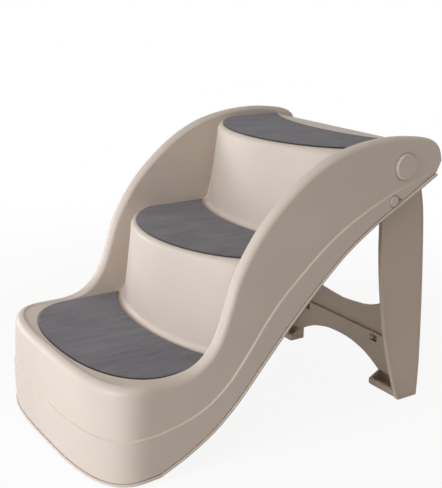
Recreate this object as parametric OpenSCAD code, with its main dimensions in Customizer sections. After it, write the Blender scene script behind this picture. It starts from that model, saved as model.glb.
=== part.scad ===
// Three-step folding pet stairs: a hollow moulded stair body with high side
// rails, three soft tread mats, and a folding rear leg frame with push-button
// locks. Steps climb toward +Y, +X is the right side, the floor is at Z = 0.

/* [Stairs] */
// Width over the lips of the two side walls
stair_width = 446; // [400:1:500]
// Rise from one tread to the next
step_rise = 160; // [140:1:180]
// Going from the first riser to the second
step_going = 189; // [170:1:215]
// Front of the stairs to the foot of the first riser
first_going = 204; // [190:1:230]
// Foot of the second riser to the back of the platform
platform_going = 227; // [205:1:250]
// Length of the rail ends behind the platform
ear_length = 45; // [35:1:60]
// Height of the rails above the platform
rail_height = 20; // [14:1:30]
// Height of the rim round the first tread
rim_height = 4; // [3:0.5:6]
// Depth of the curved nose of the first step, front to straight side
nose_depth = 100; // [80:1:120]

/* [Shell] */
// Thickness of the outer wall
wall = 3.5; // [2.5:0.1:4.5]
// Thickness of treads, risers and inner rail walls
skin = 3; // [2:0.1:4]
// Width of a side rail across its top
rail_width = 23; // [20:0.5:28]
// Rounding of the rail on its outer edge
crest_r = 12; // [8:0.5:14]
// Rounding of the rail on its inner edge
inner_r = 8; // [5:0.5:9]
// How far the bottom lip stands out from the wall
lip_out = 5; // [3:0.5:7]
// Thickness of the bottom lip
lip_t = 3; // [2:0.5:5]
// How far the band under the ledge line stands out
band_out = 1.6; // [1:0.1:2.5]
// Fillet at the foot of a riser
foot_fillet = 11; // [6:0.5:16]
// Rounding of a step's front edge
nosing_r = 9; // [5:0.5:12]
// Depth of the stiffening ribs under the treads
rib_depth = 12; // [8:1:16]

/* [Mats] */
// Thickness of a tread mat
mat_t = 2.5; // [1.5:0.1:3.5]
// Width of the first tread's rim in front of its mat
mat_front = 27; // [20:1:34]
// Gap between a mat and the rails
mat_gap = 2; // [1:0.5:5]
// Depth of the platform mat, front to back at the middle
platform_mat_depth = 155; // [130:1:165]

/* [Legs] */
// Width of a leg at its widest
leg_width = 91; // [80:1:100]
// Depth of a leg's channel section
leg_depth = 8; // [7:0.5:9]
// Thickness of the leg's walls
leg_wall = 3.5; // [2.5:0.1:4]
// Drop from the platform to the pivot
pivot_drop = 33; // [30:1:36]
// Distance from the rear end of the rails to the pivot
pivot_inset = 87; // [80:1:95]
// Height of the brace panel's top edge
brace_top = 94; // [85:1:105]
// Height of the arch between the feet
arch_height = 60; // [50:1:65]
// Height of the cross web at its middle
web_height = 133; // [120:1:145]

/* [Pivots and locks] */
// Diameter of the round pivot cap
cap_d = 50; // [44:1:54]
// How far the cap stands out of the wall
cap_out = 4.5; // [3:0.5:6]
// Diameter of the pivot pin
pin_d = 24; // [20:1:28]
// Running clearance round a pivot pin, on the radius
pin_gap = 0.08; // [0.03:0.01:0.1]
// Diameter of a lock button
button_d = 20.5; // [18:0.5:22]
// How far a button stands out of the wall
button_out = 3.5; // [2.5:0.5:5]

/* [Hidden] */

$fn = 64;
steps = 3;
overrun = 1;
stair_length = first_going + step_going + platform_going + ear_length;
stair_height = steps * step_rise + rail_height;
rim_z = step_rise + rim_height;
platform_z = steps * step_rise;
platform_back = stair_length - ear_length;
wall_x = stair_width / 2 - lip_out;
rail_x = wall_x - rail_width;
pad_t = 2;

plastic_color = [0.66, 0.61, 0.55];
leg_color = [0.58, 0.52, 0.47];
mat_color = [0.33, 0.33, 0.36];
rubber_color = [0.2, 0.2, 0.21];
steel_color = [0.75, 0.76, 0.78];

// Everything is drawn from the front of the first step and moved so that the
// origin lies on the floor under the middle.
module placed() {
    translate([0, -stair_length / 2, 0]) children();
}

module mirrored(side) {
    if (side < 0) mirror([1, 0, 0]) children();
    else children();
}

function mix(a, b, t) = a + (b - a) * t;

// Smooth curve through the rows of a table, t counting rows from 0.
function smooth(table, t) =
    let(last = len(table) - 1, i = min(floor(t), last - 1), f = t - i,
        p0 = table[max(i - 1, 0)], p1 = table[i], p2 = table[i + 1], p3 = table[min(i + 2, last)])
    ((2 * p1) + (p2 - p0) * f + (2 * p0 - 5 * p1 + 4 * p2 - p3) * f * f
        + (3 * p1 - p0 - 3 * p2 + p3) * f * f * f) / 2;

// Side wall, with the rail's crest above and the lip below. Each row gives, for
// one station from the end of the nose to the rail's rear end: crest position
// and rise, lip position and height, ledge height, ledge size. Positions are
// shares of the straight side, rises of the rail's rise.
side_shares = [
    [0.000, 0.000, 0.000, 0.028, 0.44, 1.0],
    [0.071, 0.003, 0.088, 0.070, 0.42, 1.0],
    [0.127, 0.027, 0.177, 0.128, 0.40, 1.0],
    [0.170, 0.086, 0.257, 0.206, 0.39, 1.0],
    [0.200, 0.173, 0.336, 0.304, 0.38, 1.0],
    [0.223, 0.286, 0.407, 0.392, 0.37, 1.0],
    [0.248, 0.411, 0.478, 0.474, 0.34, 1.0],
    [0.287, 0.530, 0.549, 0.550, 0.30, 1.0],
    [0.340, 0.649, 0.616, 0.616, 0.27, 1.0],
    [0.407, 0.759, 0.683, 0.670, 0.25, 1.0],
    [0.488, 0.863, 0.750, 0.715, 0.22, 1.0],
    [0.584, 0.943, 0.814, 0.753, 0.20, 0.8],
    [0.690, 0.985, 0.871, 0.786, 0.18, 0.5],
    [0.796, 1.000, 0.906, 0.807, 0.17, 0.2],
    [0.885, 0.988, 0.933, 0.823, 0.20, 0.1],
    [0.949, 0.955, 0.952, 0.835, 0.28, 0.1],
    [0.984, 0.911, 0.965, 0.843, 0.40, 0.1],
    [1.000, 0.851, 0.973, 0.848, 0.50, 0.1]];
stations_per_row = 1;
nose_columns = 10;
nose_power = 2.6;
front_bulge = 3;

function straight(share) = nose_depth + share * (stair_length - nose_depth);

// One column of the wall: crest point, lip point, outward direction, ledge
// height, ledge size, how far the rail has risen, from 0 at the rim to 1, and
// how far the middle of the solid rises above the rail for the steps.
function column(crest, foot, out, ledge_share, ledge_size, lift = 1) =
    let(span = norm(crest - foot), risen = min((crest[2] - rim_z) / (inner_r + rim_height), 1))
    [crest, foot, out, ledge_share * span, ledge_size, risen, min(pow(risen, 4), lift)];

function nose_column(i) =
    let(a = 90 * i / nose_columns,
        x = wall_x * pow(sin(a), 2 / nose_power),
        back = 1 - pow(cos(a), 2 / nose_power),
        y = mix(lip_out, nose_depth, back),
        slope = [pow(x / wall_x, nose_power - 1) / wall_x,
            -pow(1 - back, nose_power - 1) / (nose_depth - lip_out)],
        rise = side_shares[0][3] * stair_height - pad_t)
    column([x, y, rim_z], [x, y, pad_t + rise * pow(back, 4)],
        [slope[0], slope[1], 0] / norm(slope), side_shares[0][4], 1);

function side_column(t) =
    let(s = smooth(side_shares, t))
    column([wall_x, straight(s[0]), mix(rim_z, stair_height, s[1])],
        [wall_x, straight(s[2]), s[3] * stair_height], [1, 0, 0], s[4], s[5],
        max(len(side_shares) - 2 - t, 0));

function columns(rear_rows_left_off) = concat(
    [for (i = [0:nose_columns - 1]) nose_column(i)],
    [for (i = [0:stations_per_row * (len(side_shares) - 1 - rear_rows_left_off)])
        side_column(i / stations_per_row)]);

function up_from_lip(c, d, out) =
    c[1] + (c[0] - c[1]) / norm(c[0] - c[1]) * d + c[2] * out;
function down_from_crest(c, d, out) =
    c[0] - (c[0] - c[1]) / norm(c[0] - c[1]) * d + c[2] * out;

// Top of the solid over the steps, before they are cut: it starts inside the
// rails, and further in where there is no rail yet.
core_in = 1;
rim_core_in = 20;
function core_row(p, c) =
    let(q = p - c[2] * mix(rim_core_in, core_in, c[6]))
    [q[0], q[1], mix(q[2], stair_height + inner_r, c[6])];

arc_steps = [30, 60, 90];
ledge_rise = 2;

// Outer face of a column, from the lip over the crest to the inside of the rail.
function outer_rows(c) = concat(
    [up_from_lip(c, 0, lip_out),
        up_from_lip(c, lip_t, lip_out),
        up_from_lip(c, lip_t, band_out * c[4]),
        up_from_lip(c, c[3], band_out * c[4] + front_bulge * abs(c[2][1])),
        up_from_lip(c, c[3] + ledge_rise, front_bulge * abs(c[2][1])),
        down_from_crest(c, crest_r, 0)],
    [for (a = arc_steps) down_from_crest(c, crest_r * (1 - sin(a)), -crest_r * (1 - cos(a)))],
    [down_from_crest(c, 0, inner_r - rail_width)],
    [for (a = arc_steps)
        down_from_crest(c, c[5] * inner_r * (1 - cos(a)), inner_r * (1 - sin(a)) - rail_width)],
    [core_row(down_from_crest(c, c[5] * inner_r, -rail_width), c)]);

// Inner face of a column, one wall thickness inside.
hollow_r = crest_r - wall;
function inner_rows(c) = concat(
    [up_from_lip(c, -lip_t, -wall), down_from_crest(c, crest_r, -wall)],
    [for (a = arc_steps)
        down_from_crest(c, crest_r - hollow_r * sin(a), -wall - hollow_r * (1 - cos(a)))],
    [down_from_crest(c, wall, -crest_r - skin),
        down_from_crest(c, wall + c[5] * inner_r, skin - rail_width),
        core_row(down_from_crest(c, wall + c[5] * inner_r, skin - rail_width), c)]);

// Two triangles for a patch with corners a, b, c, d; flip picks its diagonal.
function patch(a, b, c, d, flip) = flip ? [[a, d, b], [d, c, b]] : [[a, c, b], [a, d, c]];

// Closed solid whose right half is given as columns of points, front to rear.
module loft(half) {
    n = len(half) - 1;
    m = len(half[0]);
    full = concat([for (i = [n:-1:1]) [for (p = half[i]) [-p[0], p[1], p[2]]]], half);
    function id(i, j) = (i + n) * m + j;
    faces = concat(
        [for (i = [-n:n - 1]) for (j = [0:m - 2])
            each patch(id(i, j), id(i + 1, j), id(i + 1, j + 1), id(i, j + 1), i < 0)],
        [for (i = [1:n - 1])
            each [[id(i, m - 1), id(-i, m - 1), id(-i - 1, m - 1)],
                [id(i, m - 1), id(-i - 1, m - 1), id(i + 1, m - 1)],
                [id(i, 0), id(-i - 1, 0), id(-i, 0)], [id(i, 0), id(i + 1, 0), id(-i - 1, 0)]]],
        [[id(0, m - 1), id(-1, m - 1), id(1, m - 1)], [id(0, 0), id(1, 0), id(-1, 0)]],
        [concat([for (j = [0:m - 1]) id(n, j)], [for (j = [m - 1:-1:0]) id(-n, j)])]);
    polyhedron([for (c = full) each c], faces);
}

// Plan curves of the risers, as half ellipses: half width and depth.
foot_curve = [228, 109];
top_curve = [209, 139];
riser_lean = 5;
block_columns = 9;
fillet_steps = [0, 30, 60, 90];

function ellipse_y(x, front, curve, out) =
    front + curve[1] - (curve[1] + out) * sqrt(max(1 - pow(x / (curve[0] + out), 2), 0));

// Front of a step block at height share h, pushed out by d, for one x.
function riser_y(front, h, d, x) = mix(
    ellipse_y(x, front, foot_curve, d), ellipse_y(x, front + riser_lean, top_curve, d), h);

// Solid under one tread, riser front at y = front. thin makes it smaller by
// a wall, with the same centres for its rounded edges.
module step_block(front, z_foot, back, half_x, thin) {
    rise = step_rise;
    rows = concat(
        [[-thin - overrun, foot_fillet]],
        [for (a = fillet_steps) [(foot_fillet + thin) * (1 - cos(a)) - thin,
            (foot_fillet + thin) * (1 - sin(a)) - thin]],
        [for (a = fillet_steps) [rise - nosing_r + (nosing_r - thin) * sin(a),
            -thin - (nosing_r - thin) * (1 - cos(a))]]);
    n = 2 * block_columns;
    m = len(rows);
    xs = [for (i = [0:n]) -half_x * cos(180 * i / n)];
    front_pts = [for (x = xs) for (r = rows)
        [x, riser_y(front, min(max(r[0] / rise, 0), 1), r[1], x), z_foot + r[0]]];
    back_pts = [for (x = [xs[0], xs[n]]) for (r = [rows[0], rows[m - 1]]) [x, back, z_foot + r[0]]];
    b = len(front_pts);
    function id(i, j) = i * m + j;
    polyhedron(concat(front_pts, back_pts), concat(
        [for (i = [0:n - 1]) for (j = [0:m - 2])
            each patch(id(i, j), id(i + 1, j), id(i + 1, j + 1), id(i, j + 1), i >= block_columns)],
        [concat([for (i = [0:n]) id(i, 0)], [b + 2, b])],
        [concat([for (i = [n:-1:0]) id(i, m - 1)], [b + 1, b + 3])],
        [concat([for (j = [m - 1:-1:0]) id(0, j)], [b, b + 1])],
        [concat([for (j = [0:m - 1]) id(n, j)], [b + 3, b + 2])],
        [[b, b + 2, b + 3, b + 1]]));
}

// Plan of the first tread: a curved front and straight sides.
recess_power = 2.3;
recess_depth = 105;
function tread_front(half_x, front, depth) = [for (i = [-nose_columns:nose_columns])
    let(a = 90 * i / nose_columns)
    [half_x * sign(i) * pow(abs(sin(a)), 2 / recess_power),
        front + depth * (1 - pow(cos(a), 2 / recess_power))]];

// Space above the treads and behind the platform; out makes it larger.
module stairwell(out) {
    half_x = rail_x + out;
    front = mat_front - mat_gap - out;
    difference() {
        translate([0, 0, step_rise - out])
            linear_extrude(stair_height)
                polygon(concat(tread_front(half_x, front, recess_depth),
                    [[half_x, stair_length + wall], [-half_x, stair_length + wall]]));
        for (k = [1, 2])
            step_block(first_going + (k - 1) * step_going, k * step_rise, platform_back - out,
                half_x + overrun, out);
    }
}

pivot_y = stair_length - pivot_inset;
pivot_z = platform_z - pivot_drop;
button_ahead = 23;
button_below = 57;
button_y = pivot_y - button_ahead;
button_z = pivot_z - button_below;

// Places across the width, from the leg out to the wall.
slide_gap = 0.3;
wall_in = wall_x - wall;
leg_gap = 2;
leg_in = rail_x + skin + leg_gap;
leg_out = leg_in + leg_depth;
flange_t = 1.8;
flange_rim = 2.5;
flange_d = button_d + 2 * flange_rim;
flange_in = wall_in - slide_gap - flange_t;
leaf_t = 1.2;
leaf_in = flange_in - slide_gap - leaf_t;
leaf_w = 14;

// The catch lies along a line through the button, turned up to the rear.
catch_angle = 27.5;
nose_reach = 20;
nose_length = 6;
root_reach = 68;
catch_screw_back = 7;
strike_t = 4;
strike_depth = wall_in - leaf_in - leaf_t - slide_gap / 2;

module at_catch() {
    translate([0, button_y, button_z]) rotate([catch_angle, 0, 0]) children();
}

module along_x(x, y, z) {
    translate([x, y, z]) rotate([0, 90, 0]) children();
}

rib_t = 2.5;
rib_shares = [-0.6, -0.2, 0.2, 0.6];

// Ribs under one tread, from the wall in front to the riser behind.
module tread_ribs(k) {
    for (share = rib_shares) {
        x = share * rail_x;
        back = k == steps ? platform_back
            : riser_y(first_going + (k - 1) * step_going, 0, -skin, x);
        translate([x - rib_t / 2, 0, k * step_rise - skin - rib_depth])
            cube([rib_t, back, rib_depth + skin + rim_height]);
    }
}

// Two teeth inside the wall, which stop the nose of the catch.
module strike() {
    at_catch()
        for (z = [leaf_w / 2 + slide_gap, -leaf_w / 2 - slide_gap - strike_t])
            translate([wall_in - strike_depth, -nose_reach, z])
                cube([strike_depth + wall / 2, nose_length, strike_t]);
}

// Hollow moulding: rails, steps, the space under them, ribs and strikes.
module moulding() {
    difference() {
        loft([for (c = columns(0)) outer_rows(c)]);
        stairwell(0);
        difference() {
            loft([for (c = columns(1)) inner_rows(c)]);
            stairwell(skin);
            for (k = [1:steps]) tread_ribs(k);
            for (side = [-1, 1]) mirrored(side) strike();
        }
    }
}

module through_wall(y, z, d) {
    along_x(wall_in - overrun, y, z) cylinder(d = d, h = wall + lip_out + 2 * overrun);
}

module stair_body() {
    color(plastic_color) placed() {
        difference() {
            translate([0, stair_length / 2, pad_t])
                resize([stair_width, stair_length, stair_height - pad_t])
                    translate([0, -stair_length / 2, -pad_t])
                        moulding();
            for (side = [-1, 1]) mirrored(side) {
                through_wall(pivot_y, pivot_z, pin_d);
                through_wall(button_y, button_z, button_d);
            }
        }
    }
}

mat_clear = 0.5;
mat_columns = 24;
mat_x = rail_x - mat_gap;

function mat_xs() = [for (i = [0:mat_columns]) mat_x * cos(180 * i / mat_columns)];

// Rear edge of a mat, along the fillet of the riser behind it.
function mat_rear(front, d) = [for (x = mat_xs()) [x, ellipse_y(x, front, foot_curve, d)]];

module tread_mat(k, outline) {
    color(mat_color) placed()
        translate([0, 0, k * step_rise]) linear_extrude(mat_t) polygon(outline);
}

function upper_front(k) = [for (x = mat_xs())
    [-x, ellipse_y(-x, first_going + (k - 2) * step_going + riser_lean, top_curve, -nosing_r)]];

module mat_lower() {
    tread_mat(1, concat(tread_front(mat_x, mat_front, recess_depth),
        mat_rear(first_going, foot_fillet + mat_clear)));
}

module mat_middle() {
    tread_mat(2, concat(upper_front(2),
        mat_rear(first_going + step_going, foot_fillet + mat_clear)));
}

module mat_top() {
    front = first_going + step_going + riser_lean + nosing_r;
    tread_mat(3, concat(upper_front(3), mat_rear(front + platform_mat_depth, 0)));
}

// Rubber strips under the lip of the first step.
pad_columns = [[1, 3], [4, 6]];
pad_inset = 1.5;
function pad_edge(i, out) = let(c = nose_column(i), p = c[1] + c[2] * out) [p[0], p[1]];

module base_pads() {
    color(rubber_color) placed()
        for (side = [-1, 1]) mirrored(side)
            for (span = pad_columns)
                linear_extrude(pad_t) polygon(concat(
                    [for (i = [span[0]:0.5:span[1]]) pad_edge(i, lip_out - pad_inset)],
                    [for (i = [span[1]:-0.5:span[0]]) pad_edge(i, pad_inset - wall)]));
}

// Edges of a leg seen from the side: height as a share of the pivot's height,
// distance behind the pivot as a share of the leg's width.
leg_front_shares = [[0.006, 0.36], [0.036, 0.29], [0.10, 0.18], [0.22, 0.00], [0.32, -0.12],
    [0.46, -0.25], [0.58, -0.33], [0.70, -0.38], [0.80, -0.40], [0.84, -0.44]];
leg_rear_shares = [[0.90, 0.56], [0.82, 0.65], [0.68, 0.72], [0.42, 0.81], [0.15, 0.87], [0.006, 0.86]];
leg_head_r = 34;
leg_corner_r = 12;
boss_wall = 10;
edge_bead = 0.8;

function leg_point(s) = [pivot_y + s[1] * leg_width, s[0] * pivot_z];
function leg_edge(shares) = [for (i = [0:0.5:len(shares) - 1]) leg_point(smooth(shares, i))];

module leg_outline() {
    polygon(concat(leg_edge(leg_front_shares), leg_edge(leg_rear_shares)));
    hull() {
        translate([pivot_y, pivot_z]) circle(leg_head_r);
        for (s = [leg_front_shares[len(leg_front_shares) - 1], leg_rear_shares[0]])
            translate(leg_point(s) - [sign(s[1]) * leg_corner_r, 0]) circle(leg_corner_r);
    }
}

// Extrudes a side view, whose x is y and whose y is z, from x0 to x1.
module side_extrude(x0, x1) {
    translate([x0, 0, 0]) rotate([90, 0, 90]) linear_extrude(x1 - x0) children();
}

// Extrudes a rear view from y0 back to y1.
module rear_extrude(y0, y1) {
    translate([0, y1, 0]) rotate([90, 0, 0]) linear_extrude(y1 - y0) children();
}

leg_rib_shares = [0.34, 0.48, 0.62, 0.76];
seam = 0.15;
web_share = 0.74;
toe_share = 0.42;
web_y = pivot_y + web_share * leg_width;
web_t = leg_wall;
brace_t = leg_wall;
brace_gap = 2.5;
brace_y = web_y - brace_t - brace_gap;
arch_half = 122;
toe_y = pivot_y + toe_share * leg_width;
toe_height = 10;
foot_height = 24;
foot_overlap = 3;

// Half of the web's top edge and of the arch, as shares of the half width
// between the legs and of the heights at the middle.
web_top_shares = [[0.00, 1.00], [0.30, 1.04], [0.48, 1.12], [0.62, 1.24], [0.76, 1.42], [0.90, 1.68],
    [1.02, 2.02]];
arch_shares = [[0.00, 1.00], [0.25, 0.98], [0.45, 0.90], [0.62, 0.80], [0.78, 0.66], [0.92, 0.50],
    [1.00, 0.40]];

function web_top() = [for (i = [len(web_top_shares) - 1:-0.5:0])
    let(s = smooth(web_top_shares, i)) [max(s[0] * leg_in, seam), s[1] * web_height]];
function arch(rise) = [for (i = [0:0.5:len(arch_shares) - 1])
    let(s = smooth(arch_shares, i)) [s[0] * arch_half, s[1] * arch_height + rise]];

// Snap hooks on the web, through windows in the brace.
hook_x = 102;
hook_above = 23;
hook_z = arch_height + hook_above;
hook_w = 5;
hook_t = 3.5;
hook_lip = 3;
window_d = 10;

module snap_hook() {
    translate([hook_x - hook_w / 2, brace_y - slide_gap - hook_lip, hook_z - hook_t / 2])
        cube([hook_w, web_y - brace_y + slide_gap + hook_lip + web_t / 2, hook_t]);
    translate([hook_x - hook_w / 2, brace_y - slide_gap - hook_lip, hook_z])
        cube([hook_w, hook_lip, window_d / 2 + hook_lip / 2]);
}

// Hollow foot, open at the top in front of the brace.
module foot() {
    side_profile = [[web_y, pad_t], [toe_y, pad_t], [toe_y, pad_t + toe_height],
        [brace_y, foot_height], [web_y, foot_height]];
    difference() {
        side_extrude(arch_half, leg_in + foot_overlap) polygon(side_profile);
        translate([arch_half + leg_wall, toe_y + leg_wall, pad_t + leg_wall])
            cube([leg_in - arch_half - leg_wall, web_y - toe_y, foot_height]);
    }
}

module leg(side) {
    color(leg_color) placed() mirrored(side)
        difference() {
            union() {
                side_extrude(leg_out - leg_wall, leg_out - edge_bead) leg_outline();
                side_extrude(leg_in, leg_out) difference() {
                    leg_outline();
                    offset(delta = -leg_wall) leg_outline();
                }
                side_extrude(leg_in, leg_out - edge_bead) intersection() {
                    leg_outline();
                    for (share = leg_rib_shares)
                        translate([pivot_y - leg_width, share * pivot_z]) square([2 * leg_width, rib_t]);
                }
                rear_extrude(web_y, web_y + web_t)
                    polygon(concat(web_top(),
                        [[seam, arch_height + leg_wall]], arch(leg_wall),
                        [[arch_half, pad_t], [leg_in + foot_overlap, pad_t]]));
                foot();
                snap_hook();
                along_x(leg_in, pivot_y, pivot_z)
                    cylinder(d = pin_d + 2 * boss_wall, h = wall_in - slide_gap - leg_in);
                at_catch()
                    translate([leg_out - leg_wall, root_reach - 2 * catch_screw_back, -leaf_w / 2])
                        cube([leaf_in - leg_out + leg_wall, 2 * catch_screw_back, leaf_w]);
            }
            along_x(leg_in - overrun, pivot_y, pivot_z)
                cylinder(r = pin_d / 2 + pin_gap, h = wall_in - leg_in + 2 * overrun);
            at_catch()
                along_x(leg_in - overrun, root_reach - catch_screw_back, 0)
                    cylinder(d = catch_screw_d + 2 * screw_gap, h = wall_in - leg_in);
        }
}

module left_leg() leg(-1);
module right_leg() leg(1);

module brace_panel() {
    end_x = leg_in - slide_gap;
    half = concat([[0, brace_top]], [[end_x, brace_top], [end_x, foot_height + slide_gap],
        [arch_half, foot_height + slide_gap]], [for (i = [len(arch(0)) - 1:-1:0]) arch(0)[i]]);
    color(leg_color) placed()
        difference() {
            union() {
                for (side = [-1, 1]) mirrored(side) {
                    rear_extrude(brace_y, brace_y + brace_t - slide_gap) polygon(half);
                    translate([0, brace_y, brace_top - brace_t])
                        cube([end_x, web_y - brace_y - slide_gap, brace_t]);
                }
            }
            for (side = [-1, 1])
                translate([side * hook_x, brace_y - overrun, hook_z])
                    rotate([-90, 0, 0]) cylinder(d = window_d, h = brace_t + 2 * overrun);
        }
}

module foot_pads() {
    color(rubber_color) placed()
        for (side = [-1, 1]) mirrored(side)
            translate([arch_half + leg_wall, toe_y + pad_inset, 0])
                cube([leg_in - arch_half - leg_wall, web_y - toe_y - pad_inset, pad_t]);
}

pin_play = 0.2;
pin_end = leg_in - pin_play;
pin_fit = 0.02;
cap_round = 1.5;
washer_d = 36;
washer_t = 1.6;
screw_d = 5;
screw_gap = 0.05;
screw_head_d = 9.5;
screw_head_h = 3;
screw_length = 12;

module pivot_pin(side) {
    color(plastic_color) placed() mirrored(side)
        difference() {
            union() {
                along_x(pin_end, pivot_y, pivot_z)
                    cylinder(r = pin_d / 2 - pin_fit, h = wall_x - pin_end + cap_round);
                along_x(wall_x, pivot_y, pivot_z)
                    rotate_extrude() polygon(concat([[0, 0], [cap_d / 2, 0]],
                        [for (a = [0:15:90]) [cap_d / 2 - cap_round * (1 - cos(a)),
                            cap_out - cap_round * (1 - sin(a))]], [[0, cap_out]]));
            }
            along_x(pin_end - overrun, pivot_y, pivot_z)
                cylinder(d = screw_d + 2 * screw_gap, h = screw_length + 2 * overrun);
        }
}

module pivot_pin_left() pivot_pin(-1);
module pivot_pin_right() pivot_pin(1);

module pivot_washers() {
    color(steel_color) placed()
        for (side = [-1, 1]) mirrored(side)
            along_x(pin_end - washer_t, pivot_y, pivot_z)
                difference() {
                    cylinder(d = washer_d, h = washer_t);
                    translate([0, 0, -overrun])
                        cylinder(d = screw_d + 2 * screw_gap, h = washer_t + 2 * overrun);
                }
}

module pivot_screws() {
    color(steel_color) placed()
        for (side = [-1, 1]) mirrored(side) {
            along_x(pin_end - washer_t - screw_head_h, pivot_y, pivot_z)
                cylinder(d = screw_head_d, h = screw_head_h);
            along_x(pin_end - washer_t - screw_head_h / 2, pivot_y, pivot_z)
                cylinder(d = screw_d, h = screw_length);
        }
}

button_gap = 0.08;
button_round = 1.2;

module lock_button(side) {
    color(plastic_color) placed() mirrored(side)
        along_x(flange_in, button_y, button_z)
            rotate_extrude() polygon(concat(
                [[0, 0], [flange_d / 2, 0], [flange_d / 2, flange_t], [button_d / 2 - button_gap, flange_t]],
                [for (a = [0:15:90]) [button_d / 2 - button_gap - button_round * (1 - cos(a)),
                    wall_x + button_out - flange_in - button_round * (1 - sin(a))]],
                [[0, wall_x + button_out - flange_in]]));
}

module lock_button_left() lock_button(-1);
module lock_button_right() lock_button(1);

catch_screw_d = 3;
catch_head_d = 6;
catch_head_h = 1.6;
catch_screw_length = 7;
nose_h = strike_depth - slide_gap;

module catch(side) {
    color(steel_color) placed() mirrored(side)
        at_catch()
            difference() {
                union() {
                    translate([leaf_in, -nose_reach, -leaf_w / 2])
                        cube([leaf_t, nose_reach + root_reach, leaf_w]);
                    translate([leaf_in, -nose_reach, -leaf_w / 2])
                        cube([leaf_t + nose_h, nose_length, leaf_w]);
                }
                along_x(leaf_in - overrun, root_reach - catch_screw_back, 0)
                    cylinder(d = catch_screw_d + 2 * screw_gap, h = leaf_t + 2 * overrun);
            }
}

module catch_left() catch(-1);
module catch_right() catch(1);

module catch_screws() {
    color(steel_color) placed()
        for (side = [-1, 1]) mirrored(side) at_catch() {
            along_x(leaf_in + leaf_t, root_reach - catch_screw_back, 0)
                cylinder(d = catch_head_d, h = catch_head_h);
            along_x(leaf_in + leaf_t - catch_screw_length, root_reach - catch_screw_back, 0)
                cylinder(d = catch_screw_d, h = catch_screw_length + catch_head_h / 2);
        }
}

stair_body();
mat_lower();
mat_middle();
mat_top();
base_pads();
left_leg();
right_leg();
brace_panel();
foot_pads();
pivot_pin_left();
pivot_pin_right();
pivot_washers();
pivot_screws();
lock_button_left();
lock_button_right();
catch_left();
catch_right();
catch_screws();
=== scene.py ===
import bpy
import bmesh
import numpy as np
from mathutils import Matrix, Vector


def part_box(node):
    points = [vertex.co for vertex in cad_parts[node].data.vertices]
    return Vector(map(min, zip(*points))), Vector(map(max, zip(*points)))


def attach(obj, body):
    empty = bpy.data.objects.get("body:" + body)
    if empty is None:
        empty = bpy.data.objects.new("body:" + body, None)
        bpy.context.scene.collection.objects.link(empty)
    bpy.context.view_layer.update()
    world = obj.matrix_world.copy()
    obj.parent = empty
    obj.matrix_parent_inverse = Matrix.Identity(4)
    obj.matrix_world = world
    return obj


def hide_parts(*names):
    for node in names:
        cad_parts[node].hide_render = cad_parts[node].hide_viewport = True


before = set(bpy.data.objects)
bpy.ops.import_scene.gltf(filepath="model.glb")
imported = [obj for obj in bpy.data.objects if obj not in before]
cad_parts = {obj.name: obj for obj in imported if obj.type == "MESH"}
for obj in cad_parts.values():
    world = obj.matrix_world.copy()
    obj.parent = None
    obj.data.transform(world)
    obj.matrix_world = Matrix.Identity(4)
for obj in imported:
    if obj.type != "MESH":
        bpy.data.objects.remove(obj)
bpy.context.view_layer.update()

# The view: the stairs stand free on white paper, seen from the front right and
# a little above, from about 1.7 metres away.
view_turn = np.radians(56.605)
view_drop = np.radians(16.61)
view_roll = np.radians(0.794)
eye = Vector((1.2995, -0.8381, 0.7541))
lens = 73.80

forward = Vector((-np.sin(view_turn) * np.cos(view_drop),
                  np.cos(view_turn) * np.cos(view_drop), -np.sin(view_drop)))
level = Vector((np.cos(view_turn), np.sin(view_turn), 0))
upward = level.cross(forward)
across = level * np.cos(view_roll) + upward * np.sin(view_roll)
camera = bpy.data.objects.new("camera", bpy.data.cameras.new("camera"))
camera.data.lens = lens
camera.data.sensor_fit = "HORIZONTAL"
camera.matrix_world = Matrix.Translation(eye) @ Matrix(
    (across, across.cross(forward), -forward)).transposed().to_4x4()
bpy.context.scene.collection.objects.link(camera)
bpy.context.scene.camera = camera
bpy.context.scene.view_settings.view_transform = "Standard"

# The floor: matt white paper that runs on past the picture, so only the soft
# shadow under the stairs shows on it. It has the first finish made of shader
# nodes, so the classes for them come first.


class Wire:
    """One output of a finish's nodes, which goes into sums as a number does."""

    def __init__(self, finish, socket):
        self.finish = finish
        self.socket = socket

    def math(self, operation, *values):
        """The result of one sum with the values."""
        return self.finish.node("ShaderNodeMath", {"operation": operation}, *values)

    def __add__(self, other):
        return self.math("ADD", self, other)

    def __mul__(self, other):
        return self.math("MULTIPLY", self, other)

    __radd__ = __add__
    __rmul__ = __mul__

    def ramp(self, low, high):
        """0 below low, 1 above high, and a smooth slope between them."""
        return self.finish.node("ShaderNodeMapRange", {"interpolation_type": "SMOOTHSTEP"},
                                self, low, high)


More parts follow.
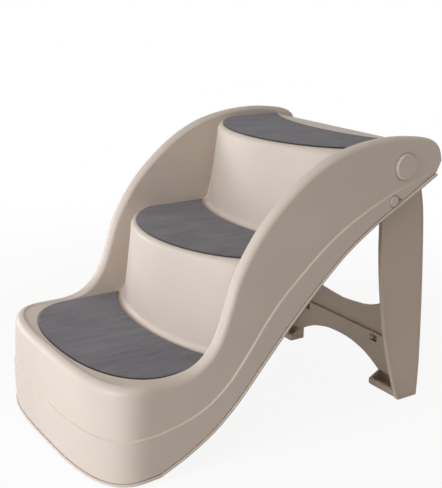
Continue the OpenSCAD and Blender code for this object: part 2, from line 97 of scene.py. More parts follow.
class Finish:
    """A material of shader nodes, with one Principled surface at its end."""

    def __init__(self, name, **values):
        self.material = bpy.data.materials.new(name)
        self.material.use_nodes = True
        self.tree = self.material.node_tree
        self.surface = self.tree.nodes["Principled BSDF"]
        self.wear(**values)
        self.place = self.node("ShaderNodeTexCoord", output="Object")

    def plug(self, socket, value):
        """Sets a socket to a number or colour, or links it to another output."""
        if isinstance(value, Wire):
            self.tree.links.new(value.socket, socket)
        else:
            socket.default_value = value

    def node(self, kind, settings=None, *values, output=0, **named):
        """Adds a node: its settings first, then its sockets in order or by name."""
        node = self.tree.nodes.new(kind)
        for key, value in (settings or {}).items():
            setattr(node, key, value)
        for socket, value in zip(node.inputs, values):
            self.plug(socket, value)
        for key, value in named.items():
            self.plug(node.inputs[key.replace("_", " ")], value)
        return Wire(self, node.outputs[output])

    def wear(self, **values):
        """Sets or links sockets of the surface."""
        for key, value in values.items():
            self.plug(self.surface.inputs[key.replace("_", " ")], value)

    def noise(self, scale, detail=3.0, stretch=(1, 1, 1), roughness=0.5):
        """Cloudy pattern with about scale lumps a metre, drawn out along an axis."""
        spot = self.node("ShaderNodeMapping", None, self.place, Scale=stretch)
        return self.node("ShaderNodeTexNoise", None, Vector=spot, Scale=scale,
                         Detail=detail, Roughness=roughness)

    def blend(self, share, first, second):
        """A colour between two colours, share of the way to the second."""
        mix = self.tree.nodes.new("ShaderNodeMix")
        mix.data_type = "RGBA"
        for place, value in ((0, share), (6, first), (7, second)):
            self.plug(mix.inputs[place], value)
        return Wire(self, mix.outputs[2])

    def relief(self, height, depth):
        """Bump of the given depth in metres from a pattern of 0 to 1."""
        self.wear(Normal=self.node("ShaderNodeBump", None, Height=height, Distance=depth,
                                   Strength=1.0))


floor_half = 6.0
shadow_near, shadow_far = 0.6, 1.6
shadow_strength = 0.10
floor_mesh = bpy.data.meshes.new("floor")
floor_mesh.from_pydata([(-floor_half, -floor_half, 0), (floor_half, -floor_half, 0),
                        (floor_half, floor_half, 0), (-floor_half, floor_half, 0)],
                       [], [(0, 1, 2, 3)])
floor = bpy.data.objects.new("floor", floor_mesh)
bpy.context.scene.collection.objects.link(floor)
paper = Finish("paper", Base_Color=(0.86, 0.86, 0.86, 1), Roughness=0.9, Specular_IOR_Level=0.1)
rays = paper.tree.nodes.new("ShaderNodeLightPath")
background_rays = ("Is Camera Ray", "Is Glossy Ray", "Is Transmission Ray")
camera_ray, glossy_ray, through_ray = [Wire(paper, rays.outputs[ray]) for ray in background_rays]
seen = camera_ray + glossy_ray + through_ray
glow = paper.node("ShaderNodeEmission", None, Color=(1, 1, 1, 1), Strength=1.0)
distance = paper.node("ShaderNodeVectorMath", {"operation": "LENGTH"}, paper.place, output=1)
whiteness = seen * (distance.ramp(shadow_near, shadow_far) * shadow_strength
                    + (1 - shadow_strength))
paper_mix = paper.node("ShaderNodeMixShader", None, whiteness,
                       Wire(paper, paper.surface.outputs[0]), glow)
paper.tree.links.new(paper_mix.socket, paper.tree.nodes["Material Output"].inputs[0])
floor.data.materials.append(paper.material)

# The light: an even, slightly warm room all round, a soft lamp in front at
# about the height of the stairs, a weaker one that shines under them from the
# left, and a wide one above.
room_level = 0.36
room_tint = (1.0, 0.945, 0.885, 1)
world = bpy.data.worlds.new("room")
world.use_nodes = True
bpy.context.scene.world = world
room_nodes, room_links = world.node_tree.nodes, world.node_tree.links
room = room_nodes["Background"]
sight = room_nodes.new("ShaderNodeLightPath")
in_view = sight.outputs[background_rays[0]]
for ray in background_rays[1:]:
    either = room_nodes.new("ShaderNodeMath")
    either.operation = "MAXIMUM"
    room_links.new(in_view, either.inputs[0])
    room_links.new(sight.outputs[ray], either.inputs[1])
    in_view = either.outputs[0]
room_colour = room_nodes.new("ShaderNodeMix")
room_colour.data_type = "RGBA"
room_colour.inputs[6].default_value = room_tint
room_colour.inputs[7].default_value = (1, 1, 1, 1)
room_links.new(in_view, room_colour.inputs[0])
room_links.new(room_colour.outputs[2], room.inputs["Color"])
room_strength = room_nodes.new("ShaderNodeMapRange")
room_strength.inputs["To Min"].default_value = room_level
room_strength.inputs["To Max"].default_value = 1.0
room_links.new(in_view, room_strength.inputs["Value"])
room_links.new(room_strength.outputs[0], room.inputs["Strength"])


def soft_lamp(name, place, aim, size, power, tint=(1, 1, 1)):
    """A square lamp at place, turned to aim, all in metres and watts."""
    lamp = bpy.data.objects.new(name, bpy.data.lights.new(name, "AREA"))
    lamp.data.size = size
    lamp.data.energy = power
    lamp.data.color = tint
    lamp.location = place
    lamp.rotation_euler = (Vector(aim) - Vector(place)).to_track_quat("-Z", "Y").to_euler()
    bpy.context.scene.collection.objects.link(lamp)


soft_lamp("key_lamp", place=(0.32, -2.1, 0.65), aim=(0.05, -0.1, 0.2), size=0.8, power=29,
          tint=(0.95, 0.99, 1.07))
soft_lamp("fill_lamp", place=(-2.2, -1.0, 0.35), aim=(0, 0.25, 0.1), size=0.8, power=14)
soft_lamp("top_lamp", place=(0.9, -0.2, 3.2), aim=(0, 0, 0.2), size=2.0, power=14)

# The stair body: one hollow moulding of beige plastic, with high side rails
# round three curved steps, a ledge line along its sides and a lip at its foot.
# It is made on a blow or injection mould, so every edge is rounded.
stair_low, stair_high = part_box("stair_body")
stair_length = stair_high.y - stair_low.y
stair_height = stair_high.z
half_width = stair_high.x
step_rise = 0.160
first_going = 0.204
step_going = 0.189
ear_length = 0.045
platform_back = stair_length - ear_length
rim_z = 0.164
nose_depth = 0.100
lip_out = 0.005
lip_height = 0.0042
lip_round = 0.0012
lip_groove = 0.0018
groove_floor = 0.4 * lip_groove
groove_fillet = 0.0012
wall = 0.0035
skin = 0.003
wall_x = half_width - lip_out
rail_width = 0.023
rail_x = wall_x - rail_width
crest_r = 0.009
rim_r = 0.013
inner_r = 0.008
rise_spare = 0.004
core_in_low, core_in_high = 0.020, 0.001
band_out = 0.0030
ledge_below = 0.001
ledge_rise = 0.0027
rim_dip = 0.0022
rim_edge = 0.1627
front_bulge = 0.0032
pad_height = 0.002
rim_front = 0.008
rim_power = 3.1
foot_power = 3.1
recess_power = 2.3
recess_depth = 0.105
recess_front = 0.0285
foot_fillet = 0.011
nosing_r = 0.009
riser_lean = 0.005
foot_curve = (0.228, 0.109)
top_curve = (0.209, 0.139)

# For stations from the nose to the rail's end: crest place and rise, foot place
# and height, height of the ledge line, and how far it stands out, as shares.
side_shares = np.array([
    (0.000, 0.000, 0.000, 0.019, 0.47, 1.0), (0.071, 0.003, 0.088, 0.062, 0.445, 1.0),
    (0.127, 0.027, 0.177, 0.121, 0.415, 1.0), (0.170, 0.086, 0.257, 0.200, 0.39, 1.0),
    (0.200, 0.173, 0.336, 0.299, 0.38, 1.0), (0.223, 0.286, 0.407, 0.388, 0.37, 1.0),
    (0.248, 0.411, 0.478, 0.471, 0.34, 1.0), (0.287, 0.530, 0.549, 0.548, 0.30, 1.0),
    (0.340, 0.649, 0.616, 0.615, 0.27, 1.0), (0.407, 0.758, 0.683, 0.669, 0.25, 1.0),
    (0.488, 0.860, 0.750, 0.715, 0.22, 1.0), (0.584, 0.938, 0.814, 0.753, 0.20, 0.85),
    (0.690, 0.980, 0.871, 0.786, 0.18, 0.65), (0.796, 0.994, 0.906, 0.807, 0.17, 0.45),
    (0.885, 0.985, 0.933, 0.823, 0.17, 0.3), (0.949, 0.966, 0.952, 0.835, 0.17, 0.15),
    (0.984, 0.930, 0.965, 0.843, 0.18, 0.05), (1.000, 0.868, 0.973, 0.848, 0.20, 0.0)])


def mix(first, second, share):
    """The value a share of the way from the first to the second."""
    return first + (second - first) * share


def smooth(table, t):
    """Catmull-Rom curve through the table's rows, at places t counted in rows."""
    last = len(table) - 1
    i = np.minimum(np.floor(t).astype(int), last - 1)
    f = (t - i)[:, None]
    before, start = table[np.maximum(i - 1, 0)], table[i]
    end, after = table[i + 1], table[np.minimum(i + 2, last)]
    return (2 * start + (end - before) * f + (2 * before - 5 * start + 4 * end - after) * f ** 2
            + (3 * start - before - 3 * end + after) * f ** 3) / 2


def joined(x, y, z):
    """Points from three coordinates, each a number or an array."""
    return np.stack(np.broadcast_arrays(x, y, z), -1)


class Wall:
    """The right half of the side wall as upright columns from the middle of the
    nose to the rail's end. A column runs from its foot on the floor or the lip
    line to its crest, and stands out along its own level direction."""

    def __init__(self, nose_count, side_count, rows_left_off=0):
        turn = np.linspace(0, np.pi / 2, nose_count, endpoint=False)
        foot_rear = nose_depth + side_shares[0, 2] * (stair_length - nose_depth)
        rim, rim_slope = self.nose_plan(turn, rim_power, rim_front, nose_depth)
        toe, toe_slope = self.nose_plan(turn, foot_power, lip_out, foot_rear)
        slope = rim_slope + toe_slope
        slope /= np.linalg.norm(slope, axis=1)[:, None]
        nose_rise = side_shares[0, 3] * stair_height - pad_height
        rim[:, 2] = rim_z
        toe[:, 2] = pad_height + nose_rise * np.clip(turn / (np.pi / 4) - 1, 0, None) ** 2
        last = len(side_shares) - 1 - rows_left_off
        t = np.linspace(0, last, side_count + 1)
        share = smooth(side_shares, t)
        straight = nose_depth + share[:, (0, 2)] * (stair_length - nose_depth)
        crest = joined(wall_x, straight[:, 0], mix(rim_z, stair_height, share[:, 1]))
        foot = joined(wall_x, straight[:, 1], share[:, 3] * stair_height)
        self.crest = np.concatenate([rim, crest])
        self.foot = np.concatenate([toe, foot])
        self.out = np.concatenate([slope, np.broadcast_to([1.0, 0, 0], crest.shape)])
        self.ledge = np.concatenate([np.full(len(turn), side_shares[0, 4]), share[:, 4]])
        self.size = np.concatenate([np.ones(len(turn)), share[:, 5]])
        self.span = np.linalg.norm(self.crest - self.foot, axis=1)
        self.up = (self.crest - self.foot) / self.span[:, None]
        # Shares: how far a crest has risen over the rim, and how far its column's
        # core stands over the steps, which ends before the rail does.
        self.risen = np.clip((self.crest[:, 2] - rim_z) / (inner_r + rise_spare), 0, 1)
        edge = np.concatenate([np.ones(len(turn)), np.clip(len(side_shares) - 2 - t, 0, None)])
        self.lift = np.minimum(self.risen ** 4, edge)
        self.dip = (1 - self.risen) * rim_dip
        self.round = mix(rim_r, crest_r, self.risen)

    def nose_plan(self, turn, power, front, rear):
        """Points and outward slopes of a superellipse in plan, at angles turn."""
        side, ahead = np.sin(turn) ** (2 / power), np.cos(turn) ** (2 / power)
        return (joined(wall_x * side, mix(rear, front, ahead), 0.0),
                joined(side ** (power - 1) / wall_x, ahead ** (power - 1) / (front - rear), 0.0))

    def from_foot(self, height, out):
        """Points at a height above the foot, standing out of the wall."""
        return (self.foot + self.up * np.reshape(height, (-1, 1))
                + self.out * np.reshape(out, (-1, 1)))

    def from_crest(self, depth, out):
        """Points at a depth below the crest, standing out of the wall."""
        return self.from_foot(self.span - depth, out)

    def core(self, row):
        """The row inside a rail, from which the solid rises over the steps."""
        top = row - self.out * mix(core_in_low, core_in_high, self.lift)[:, None]
        top[:, 2] = mix(top[:, 2], stair_height + inner_r, self.lift)
        return top


def arc(count):
    """Angles of a quarter turn, both ends left out."""
    return np.linspace(0, np.pi / 2, count + 2)[1:-1]


def solid(name, points, faces):
    """A closed mesh from points and faces, its doubles merged and its faces out."""
    mesh = bpy.data.meshes.new(name)
    mesh.from_pydata(np.asarray(points).reshape(-1, 3).tolist(), [], faces)
    shape = bmesh.new()
    shape.from_mesh(mesh)
    bmesh.ops.remove_doubles(shape, verts=shape.verts, dist=1e-6)
    bmesh.ops.recalc_face_normals(shape, faces=shape.faces)
    shape.to_mesh(mesh)
    shape.free()
    piece = bpy.data.objects.new(name, mesh)
    bpy.context.scene.collection.objects.link(piece)
    return piece


def quads(rows, columns, start=0, around=False):
    """Faces of a grid of points stored row by row, closed on itself if around."""
    wide = columns if around else columns - 1
    j, i = np.meshgrid(np.arange(rows - 1), np.arange(wide), indexing="ij")
    a = j * columns + i
    b = j * columns + (i + 1) % columns
    return (start + np.stack([a, b, b + columns, a + columns], -1).reshape(-1, 4)).tolist()


def wall_solid(name, rows):
    """The solid between the rows of a wall and their mirror images: rows across
    it, with strips from side to side over its first and last row, and one face
    over its rear end."""
    right = np.stack(rows)
    left = right[:, :0:-1] * (-1, 1, 1)
    grid = np.concatenate([left, right], 1)
    count, columns = grid.shape[:2]
    middle = columns // 2
    faces = quads(count, columns)
    for row in (0, count - 1):
        for i in range(1, middle):
            base = row * columns + middle
            faces.append((base + i, base - i, base - i - 1, base + i + 1))
        base = row * columns + middle
        faces.append((base, base - 1, base + 1))
    rear = [row * columns + columns - 1 for row in range(count)]
    faces.append(rear + [row * columns for row in reversed(range(count))])
    return solid(name, grid, faces)


def outer_rows(c):
    """Rows of the outer face: rounded lip, groove, band, soft ledge, bulged
    wall, rounded crest, top that dips towards the first tread round the nose,
    and the rounding into the stairwell."""
    band = band_out * c.size
    bulge = front_bulge * np.abs(c.out[:, 1])

    def swell(height):
        """How far the wall bulges: a parabola over its height."""
        share = height / c.span
        return bulge * 4 * share * (1 - share)

    rows = [c.from_foot(0, lip_out - lip_round)]
    rows += [c.from_foot(lip_round * (1 - np.cos(a)), lip_out - lip_round * (1 - np.sin(a)))
             for a in arc(2)]
    rows += [c.from_foot(lip_round, lip_out), c.from_foot(lip_height - lip_round, lip_out)]
    rows += [c.from_foot(lip_height - lip_round * (1 - np.sin(a)),
                         lip_out - lip_round * (1 - np.cos(a))) for a in arc(2)]
    rows += [c.from_foot(lip_height, lip_out - lip_round),
             c.from_foot(lip_height, band - lip_groove),
             c.from_foot(lip_height + groove_floor, band - lip_groove)]
    rows += [c.from_foot(lip_height + groove_floor + groove_fillet * np.sin(a),
                         band - groove_fillet * np.cos(a)) for a in arc(3)]
    band_foot = lip_height + groove_floor + groove_fillet
    ledge = c.ledge * c.span - ledge_below
    for share in np.linspace(0, 1, 6):
        height = mix(band_foot, ledge, share)
        rows.append(c.from_foot(height, band + swell(height)))
    for share in np.linspace(0, 1, 6)[1:]:
        height = ledge + share * ledge_rise
        ease = share ** 2 * (3 - 2 * share)
        rows.append(c.from_foot(height, band * (1 - ease) + swell(height)))
    for share in np.linspace(0, 1, 9)[1:]:
        height = mix(ledge + ledge_rise, c.span - c.round, share)
        rows.append(c.from_foot(height, swell(height)))
    rows += [c.from_crest(c.round * (1 - np.sin(a)),
                          swell(c.span - c.round * (1 - np.sin(a))) - c.round * (1 - np.cos(a)))
             for a in arc(8)]
    rows += [c.from_crest(c.dip * share ** 2, mix(-c.round, inner_r - rail_width, share))
             for share in np.linspace(0, 1, 3)]
    for a in np.append(arc(5), np.pi / 2):
        rows.append(c.from_crest(c.dip + c.risen * inner_r * (1 - np.cos(a)),
                                 inner_r * (1 - np.sin(a)) - rail_width))
    rows.append(c.core(rows[-1]))
    return rows


def inner_rows(c):
    """Rows of the inner face, one wall inside the outer one."""
    hollow_r = crest_r - wall
    rows = [c.from_foot(-lip_height, -wall), c.from_crest(crest_r, -wall)]
    rows += [c.from_crest(crest_r - hollow_r * np.sin(a), -wall - hollow_r * (1 - np.cos(a)))
             for a in np.append(arc(3), np.pi / 2)]
    rows += [c.from_crest(wall + c.dip, -crest_r - skin),
             c.from_crest(wall + c.dip + c.risen * inner_r, skin - rail_width)]
    rows.append(c.core(rows[-1]))
    return rows


def ellipse_y(x, front, curve, out):
    """Front of a half ellipse in plan, pushed forward by out."""
    half, depth = curve
    return front + depth - (depth + out) * np.sqrt(np.clip(1 - (x / (half + out)) ** 2, 0, None))


def recess_y(x, half, front):
    """Front of the first tread in plan, a superellipse."""
    share = np.clip(np.abs(x) / half, 0, 1)
    return front + recess_depth * (1 - (1 - share ** recess_power) ** (1 / recess_power))


def stairwell(name, out):
    """The space above the steps and between the rails, grown by out: closed
    rings in planes across the width, each along the front rim, the treads and
    risers with their fillets and rounded nosings, the platform's rear edge and
    back over the top. The outer rings rise in a fillet against the rails."""
    half = rail_x + out
    side_r, edge_r, front_r, rear_r = 0.0035, 0.0015, 0.001, 0.006
    well_top, far, deep = stair_height + 0.03, 0.70, 0.30
    turn = np.linspace(0, np.pi / 2, 44)
    middle = (half - side_r) * np.sin(turn) ** (2 / recess_power)
    lean = arc(5)
    x = np.concatenate([middle, half - side_r + side_r * np.sin(lean), [half]])
    raised = np.concatenate([np.zeros(len(middle)), side_r * (1 - np.cos(lean)), [side_r]])
    x = np.concatenate([-x[:0:-1], x])
    raised = np.concatenate([raised[:0:-1], raised])
    floor_z = step_rise - out
    front = recess_y(x, half, recess_front - out)
    rows = [(front - edge_r, np.full_like(x, well_top))]
    rows += [(front - edge_r * np.cos(a), np.full_like(x, rim_edge - out) - edge_r * np.sin(a))
             for a in np.linspace(0, np.pi / 2, 5)]
    rows += [(front + front_r * (1 - np.cos(a)),
              floor_z + np.maximum(raised, front_r * (1 - np.sin(a))))
             for a in np.linspace(0, np.pi / 2, 6)]
    for k in (1, 2):
        start = first_going + (k - 1) * step_going
        foot = k * step_rise
        big, small = foot_fillet + out, nosing_r - out
        for a in np.linspace(0, np.pi / 2, 8):
            height = big * (1 - np.cos(a)) - out + raised * np.cos(a)
            push = big * (1 - np.sin(a)) - out + raised * np.sin(a)
            rows.append((riser_y(x, start, np.clip(height / step_rise, 0, 1), push), foot + height))
        for a in np.linspace(0, np.pi / 2, 8):
            height = step_rise - nosing_r + small * np.sin(a) + raised * np.sin(a)
            push = -out - small * (1 - np.cos(a)) + raised * np.cos(a)
            rows.append((riser_y(x, start, np.clip(height / step_rise, 0, 1), push), foot + height))
    for a in np.linspace(0, np.pi / 2, 6):
        rows.append((platform_back - out - rear_r * (1 - np.sin(a)) + raised * np.sin(a),
                     3 * step_rise - out - rear_r * (1 - np.cos(a)) + raised * np.cos(a)))
    rows += [(platform_back - out + raised, deep), (far, deep), (far, well_top)]
    grid = np.stack([joined(x, y, z) for y, z in rows])
    count, columns = grid.shape[:2]
    ends = [[row * columns + end for row in range(count)] for end in (0, columns - 1)]
    faces = quads(count, columns) + ends
    last = (count - 1) * columns
    faces += [(i, i + 1, last + i + 1, last + i) for i in range(columns - 1)]
    return solid(name, grid, faces)


def riser_y(x, start, share, push):
    """Front of a step at a share of its height: the plan runs from the foot's
    ellipse to the top's."""
    return mix(ellipse_y(x, start, foot_curve, push),
               ellipse_y(x, start + riser_lean, top_curve, push), share)


def block(name, low, high):
    """A box between two corners."""
    (x0, y0, z0), (x1, y1, z1) = low, high
    points = [(x, y, z) for z in (z0, z1) for y in (y0, y1) for x in (x0, x1)]
    return solid(name, points, [(0, 1, 3, 2), (4, 5, 7, 6), (0, 1, 5, 4), (2, 3, 7, 6),
                                (0, 2, 6, 4), (1, 3, 7, 5)])


def drum(name, start, end, y, z, radius, sides=96):
    """A bar along X with a round or, with few sides, an angular section."""
    angle = np.linspace(0, 2 * np.pi, sides, endpoint=False)
    ring = [joined(x, y + radius * np.cos(angle), z + radius * np.sin(angle)) for x in (start, end)]
    faces = quads(2, sides, around=True) + [list(range(sides)), list(range(sides, 2 * sides))]
    return solid(name, np.stack(ring), faces)


def carve(piece, tools):
    """Cuts the tools out of the piece, one after another."""
    for tool in tools:
        cut = piece.modifiers.new("cut", "BOOLEAN")
        cut.operation = "DIFFERENCE"
        cut.solver = "MANIFOLD"
        cut.object = tool
        old = piece.data
        graph = bpy.context.evaluated_depsgraph_get()
        piece.data = bpy.data.meshes.new_from_object(piece.evaluated_get(graph))
        piece.modifiers.clear()
        bpy.data.meshes.remove(old)
        bpy.data.objects.remove(tool)
    return piece


def settle(piece, name, move=(0, 0, 0), sharp=32, merge=2e-5):
    """Moves the mesh to its place, merges its doubles, shades it smooth but for
    edges sharper than the angle, and lets its large faces set the shading."""
    shape = bmesh.new()
    shape.from_mesh(piece.data)
    bmesh.ops.remove_doubles(shape, verts=shape.verts, dist=merge)
    bmesh.ops.dissolve_degenerate(shape, edges=shape.edges, dist=merge)
    bmesh.ops.translate(shape, verts=shape.verts, vec=move)
    shape.to_mesh(piece.data)
    shape.free()
    piece.data.materials.clear()
    piece.data.shade_smooth()
    piece.data.set_sharp_from_angle(angle=np.radians(sharp))
    shading = piece.modifiers.new("large_faces_first", "WEIGHTED_NORMAL")
    shading.keep_sharp = True
    shading.weight = 100
    piece.name = piece.data.name = name
    return piece


steps = 3
rib_thickness = 0.0025
rib_depth = 0.012
rib_root = 0.004
hollow = wall_solid("hollow", inner_rows(Wall(nose_count=40, side_count=68, rows_left_off=1)))
carve(hollow, [stairwell("skin", skin)])
for k in range(1, steps + 1):
    for share in (-0.6, -0.2, 0.2, 0.6):
        x = share * rail_x
        riser_foot = first_going + (k - 1) * step_going
        back = platform_back if k == steps else float(riser_y(x, riser_foot, 0, -skin))
        low = k * step_rise - skin - rib_depth
        carve(hollow, [block("rib", (x - rib_thickness / 2, 0, low),
                             (x + rib_thickness / 2, back, low + rib_depth + skin + rib_root))])

body = wall_solid("moulding", outer_rows(Wall(nose_count=60, side_count=136)))
carve(body, [stairwell("steps", 0.0), hollow])

pin_low, pin_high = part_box("pivot_pin_right")
button_low, button_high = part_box("lock_button_right")
to_front = Vector((0, stair_low.y, 0))
pivot = (pin_low + pin_high) / 2 - to_front
button = (button_low + button_high) / 2 - to_front
overrun = 0.001
pin_r = 0.012
cap_r, cap_groove, cap_sunk = 0.0228, 0.0013, 0.0012
button_r, button_groove, button_seat = 0.01025, 0.0009, 0.0002
notch_r, notch_depth = 0.0055, 0.002
notch_shift = 0.3 * notch_r
for side in (-1, 1):
    inside, outside = side * (wall_x - wall - overrun), side * (half_width + overrun)
    carve(body, [drum("bore", inside, outside, pivot.y, pivot.z, pin_r),
                 drum("cap_seat", side * (wall_x - cap_sunk), outside, pivot.y, pivot.z,
                      cap_r + cap_groove),
                 drum("bore", inside, outside, button.y, button.z, button_r),
                 drum("seat", side * (wall_x + button_seat), outside, button.y, button.z,
                      button_r + button_groove),
                 drum("notch", side * (wall_x - notch_depth), outside,
                      button.y + button_r + notch_shift, button.z + notch_shift, notch_r, sides=3)])
settle(body, "stair_moulding", to_front)

body_finish = Finish("beige_plastic", Roughness=0.46, Specular_IOR_Level=0.42)
clouds = body_finish.noise(7.0, detail=4.0)
grain = body_finish.noise(1500.0, detail=2.0)
body_finish.wear(Base_Color=body_finish.blend(clouds.ramp(0.35, 0.65), (0.585, 0.500, 0.428, 1),
                                              (0.612, 0.526, 0.452, 1)),
                 Roughness=clouds * 0.10 + grain * 0.08 + 0.38)
body_finish.relief(grain, 0.00012)
body.data.materials.append(body_finish.material)
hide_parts("stair_body")
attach(body, "stairs")

# The tread mats: grey needle felt on a black rubber backing, cut to each tread
# and laid loose between the rails.
mat_half = rail_x - 0.002
mat_thickness = 0.0030
backing_thickness = 0.0021
mat_front = 0.0305
mat_clear = 0.0005
platform_mat_depth = 0.155
edge_round = 0.0004
seam = 0.0003
felt_drawn_in = 0.0005


def mat_edges(k):
    """Front and rear edge of the mat on tread k, as functions of x: curves that
    run along the tread's own edges."""
    rear_push = foot_fillet + mat_clear
    if k == 1:
        return (lambda x: recess_y(x, mat_half, mat_front),
                lambda x: ellipse_y(x, first_going, foot_curve, rear_push))
    start = first_going + (k - 2) * step_going + riser_lean
    front = lambda x: ellipse_y(x, start, top_curve, -nosing_r)
    if k == 2:
        return front, lambda x: ellipse_y(x, first_going + step_going, foot_curve, rear_push)
    return front, lambda x: ellipse_y(x, start + nosing_r + platform_mat_depth, foot_curve, 0)


def laid_slab(name, edges, levels, columns=96, rows=48):
    """A flat slab between two curved edges: grids over its underside and its
    top, and between their rims one ring for each level (inset, height)."""
    front, rear = edges
    turn = np.linspace(-np.pi / 2, np.pi / 2, columns)
    share = np.linspace(0, 1, rows)[:, None]

    def layer(inset, height):
        """A level grid, drawn in by the inset, with its columns close at the sides."""
        x = (mat_half - inset) * np.sin(turn)
        y = mix(front(x) + inset, rear(x) - inset, share)
        return joined(x, y, height)

    rim = np.concatenate([np.arange(columns), columns * np.arange(2, rows) - 1,
                          columns * rows - 1 - np.arange(columns),
                          columns * np.arange(rows - 2, 0, -1)])
    grids = [layer(*levels[0]), layer(*levels[-1])]
    rings = [layer(*level).reshape(-1, 3)[rim] for level in levels]
    size = columns * rows
    faces = quads(rows, columns) + quads(rows, columns, size)
    faces += quads(len(levels), len(rim), 2 * size, around=True)
    points = np.concatenate([grid.reshape(-1, 3) for grid in grids] + rings)
    return solid(name, points, faces)


felt = Finish("grey_felt", Roughness=0.95, Specular_IOR_Level=0.15)
felt.wear(Sheen_Weight=0.25, Sheen_Roughness=0.5)
brushed = felt.noise(60.0, detail=6.0, stretch=(1, 0.22, 1), roughness=0.65)
fibre = felt.noise(900.0, detail=4.0, stretch=(1, 0.35, 1))
patches = felt.noise(9.0, detail=3.0)
tone = brushed * 0.5 + fibre * 0.35 + patches * 0.35
felt.wear(Base_Color=felt.blend(tone.ramp(0.42, 0.78), (0.078, 0.074, 0.084, 1),
                                (0.158, 0.150, 0.168, 1)))
felt.relief(fibre * 0.6 + brushed * 0.4, 0.0009)

backing = Finish("black_rubber", Roughness=0.62, Specular_IOR_Level=0.35)
dust = backing.noise(260.0, detail=3.0)
backing.wear(Base_Color=backing.blend(dust, (0.012, 0.011, 0.011, 1), (0.030, 0.028, 0.028, 1)),
             Roughness=dust * 0.2 + 0.5)
backing.relief(dust, 0.0002)

for k, node in enumerate(("mat_lower", "mat_middle", "mat_top"), 1):
    edges = mat_edges(k)
    low = k * step_rise
    under = low + backing_thickness
    high = low + mat_thickness
    bottom = laid_slab(node + "_backing", edges, [(edge_round, low), (0.0, low + edge_round),
                                                  (0.0, under - seam), (seam, under)])
    top = laid_slab(node + "_felt", edges, [(2 * seam, under), (seam, under + seam),
                                            (felt_drawn_in, high - edge_round),
                                            (felt_drawn_in + 2 * seam, high)])
    for piece, finish in ((bottom, backing), (top, felt)):
        settle(piece, piece.name, to_front, sharp=60)
        piece.data.materials.append(finish.material)
        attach(piece, "stairs")
    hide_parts(node)
    x = np.linspace(-mat_half, mat_half, 400)
    cut_area = float(np.mean(edges[1](x) - edges[0](x))) * 2 * mat_half
    cut_length = float((edges[1](x).max() - edges[0](x).min()))

# The leg frame: two curved legs moulded in tan plastic as shallow channels and
# joined by a cross web, with a brace panel clipped on in front of the web by
# two snap hooks that show in its windows.
flat_angle, bevel_angle = 0.6, 28
bevel_steps = 2


def soft_edges(node, name, width, tools=()):
    """A copy of a CAD node, cut by the tools, with its flat faces merged and its
    edges rounded."""
    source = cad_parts[node]
    mesh = source.data.copy()
    shape = bmesh.new()
    shape.from_mesh(mesh)
    bmesh.ops.remove_doubles(shape, verts=shape.verts, dist=1e-5)
    bmesh.ops.dissolve_limit(shape, angle_limit=np.radians(flat_angle), verts=shape.verts,
                             edges=shape.edges)
    shape.to_mesh(mesh)
    shape.free()
    piece = bpy.data.objects.new(name, mesh)
    bpy.context.scene.collection.objects.link(piece)
    carve(piece, tools)
    piece.data.materials.clear()
    rounding = piece.modifiers.new("rounding", "BEVEL")
    rounding.width = width
    rounding.segments = bevel_steps
    rounding.limit_method = "ANGLE"
    rounding.angle_limit = np.radians(bevel_angle)
    rounding.use_clamp_overlap = True
    graph = bpy.context.evaluated_depsgraph_get()
    piece.data = bpy.data.meshes.new_from_object(piece.evaluated_get(graph))
    piece.modifiers.clear()
    settle(piece, name, merge=1e-6)
    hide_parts(node)
    return piece


leg_finish = Finish("tan_plastic", Roughness=0.48, Specular_IOR_Level=0.42)
leg_clouds = leg_finish.noise(6.0, detail=4.0)
leg_grain = leg_finish.noise(1400.0, detail=2.0)
leg_finish.wear(Base_Color=leg_finish.blend(leg_clouds.ramp(0.35, 0.65), (0.505, 0.407, 0.328, 1),
                                            (0.537, 0.436, 0.353, 1)),
                Roughness=leg_clouds * 0.10 + leg_grain * 0.08 + 0.38)
leg_finish.relief(leg_grain, 0.00012)
brace_low, brace_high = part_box("brace_panel")
brace_thickness = 0.0032
web_front = brace_high.y + 0.0003
window_z, window_half = 0.083, 0.0065
window_near, window_far = 0.094, 0.112
pocket_near, pocket_far, pocket_depth = 0.080, 0.099, 0.003
gutter_inset, gutter_depth, gutter_back = 0.006, 0.008, 0.0005


def opening(side, near, far, front, back):
    """A square hole between two distances from the middle, on one side of it."""
    return block("opening", (min(side * near, side * far), front, window_z - window_half),
                 (max(side * near, side * far), back, window_z + window_half))


windows = [opening(side, window_near, window_far, brace_low.y - overrun,
                   brace_low.y + brace_thickness + overrun) for side in (-1, 1)]
gutter = block("gutter", (brace_low.x + gutter_inset, brace_low.y + brace_thickness,
                          brace_high.z - gutter_depth),
               (brace_high.x - gutter_inset, brace_high.y - gutter_back, brace_high.z + overrun))
pockets = [opening(side, pocket_near, pocket_far, web_front - overrun, web_front + pocket_depth)
           for side in (-1, 1)]
for node, rounding, tools in (("left_leg", 0.0009, pockets[:1]), ("right_leg", 0.0009, pockets[1:]),
                              ("brace_panel", 0.0007, windows + [gutter])):
    piece = soft_edges(node, node + "_moulding", rounding, tools=tools)
    piece.data.materials.append(leg_finish.material)
    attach(piece, "leg_frame")

# Feet, pivots, lock buttons and catches: rubber strips glued under the first
# step and the feet, moulded caps and buttons, and zinc-plated steel springs,
# washers and screws.
grip = Finish("grey_rubber", Roughness=0.75, Specular_IOR_Level=0.3)
scuff = grip.noise(180.0, detail=4.0)
grip.wear(Base_Color=grip.blend(scuff, (0.055, 0.055, 0.058, 1), (0.105, 0.104, 0.106, 1)),
          Roughness=scuff * 0.25 + 0.6)
grip.relief(scuff, 0.0002)

zinc = Finish("zinc_steel", Metallic=1.0, Roughness=0.35)
drawn = zinc.noise(420.0, detail=3.0, stretch=(1, 0.12, 1))
zinc.wear(Base_Color=zinc.blend(drawn, (0.50, 0.51, 0.53, 1), (0.68, 0.69, 0.71, 1)),
          Roughness=drawn * 0.2 + 0.27)

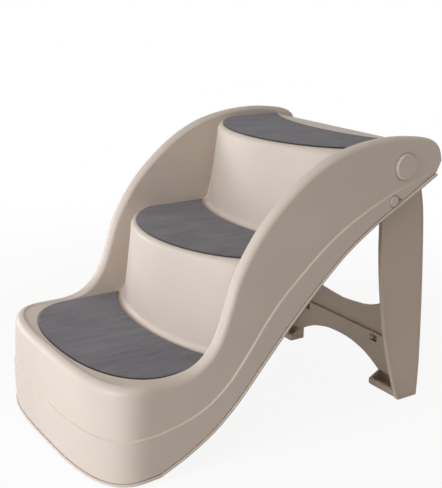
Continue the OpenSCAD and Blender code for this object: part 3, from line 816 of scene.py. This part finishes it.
cap_edge, button_edge = 0.0015, 0.0012
button_gap = 0.0003
edge_reach, edge_drop = 1.5, 1.9
rim_band = 0.001
slack = 2e-5


def sloped_edge(piece, centre, rounding, radius, sunk):
    """Turns the rounded outer edge of a cap or button into a wider sloping one:
    a point of it moves in by a share of its distance from the rim and down by a
    share of the rest. It also gives the cap its radius and sinks it in its seat."""
    spots = np.empty(3 * len(piece.data.vertices))
    piece.data.vertices.foreach_get("co", spots)
    spots = spots.reshape(-1, 3)
    from_axis = spots[:, 1:] - (centre.y + to_front.y, centre.z)
    reach = np.linalg.norm(from_axis, axis=1)
    height = np.abs(spots[:, 0])
    outer = height > height.max() - rounding - slack
    wide = reach[outer].max()
    edge = outer & (reach > wide - rounding - slack)
    inward = np.clip(wide - reach, 0, rounding)
    moved = edge | ((reach > wide - rim_band) & (height > wall_x - rim_band)) & (sunk > 0)
    new_reach = radius - edge_reach * np.where(edge, inward, 0)
    new_height = np.where(edge, height.max() - edge_drop * (rounding - inward), height - sunk)
    spots[moved, 1:] += from_axis[moved] * (new_reach / np.maximum(reach, 1e-6) - 1)[moved, None]
    spots[moved, 0] = (np.sign(spots[:, 0]) * new_height)[moved]
    piece.data.vertices.foreach_set("co", spots.ravel())
    piece.modifiers.clear()
    settle(piece, piece.name, merge=1e-6, sharp=25)


small_pieces = [("base_pads", 0.0003, grip, "rubber", "stairs"),
                ("foot_pads", 0.0003, grip, "rubber", "leg_frame"),
                ("pivot_pin_left", 0.0004, body_finish, "body_plastic", "stairs"),
                ("pivot_pin_right", 0.0004, body_finish, "body_plastic", "stairs"),
                ("lock_button_left", 0.0003, body_finish, "body_plastic", "left_button"),
                ("lock_button_right", 0.0003, body_finish, "body_plastic", "right_button"),
                ("pivot_washers", 0.0002, zinc, "steel", "stairs"),
                ("pivot_screws", 0.0004, zinc, "steel", "stairs"),
                ("catch_left", 0.0002, zinc, "steel", "leg_frame"),
                ("catch_right", 0.0002, zinc, "steel", "leg_frame"),
                ("catch_screws", 0.0003, zinc, "steel", "leg_frame")]
for node, rounding, finish, slot, rides_on in small_pieces:
    piece = soft_edges(node, node + "_piece", rounding)
    if "pivot_pin" in node:
        sloped_edge(piece, pivot, cap_edge, cap_r, cap_sunk)
    elif "lock_button" in node:
        sloped_edge(piece, button, button_edge, button_r - button_gap, 0)
    piece.data.materials.append(finish.material)
    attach(piece, rides_on)
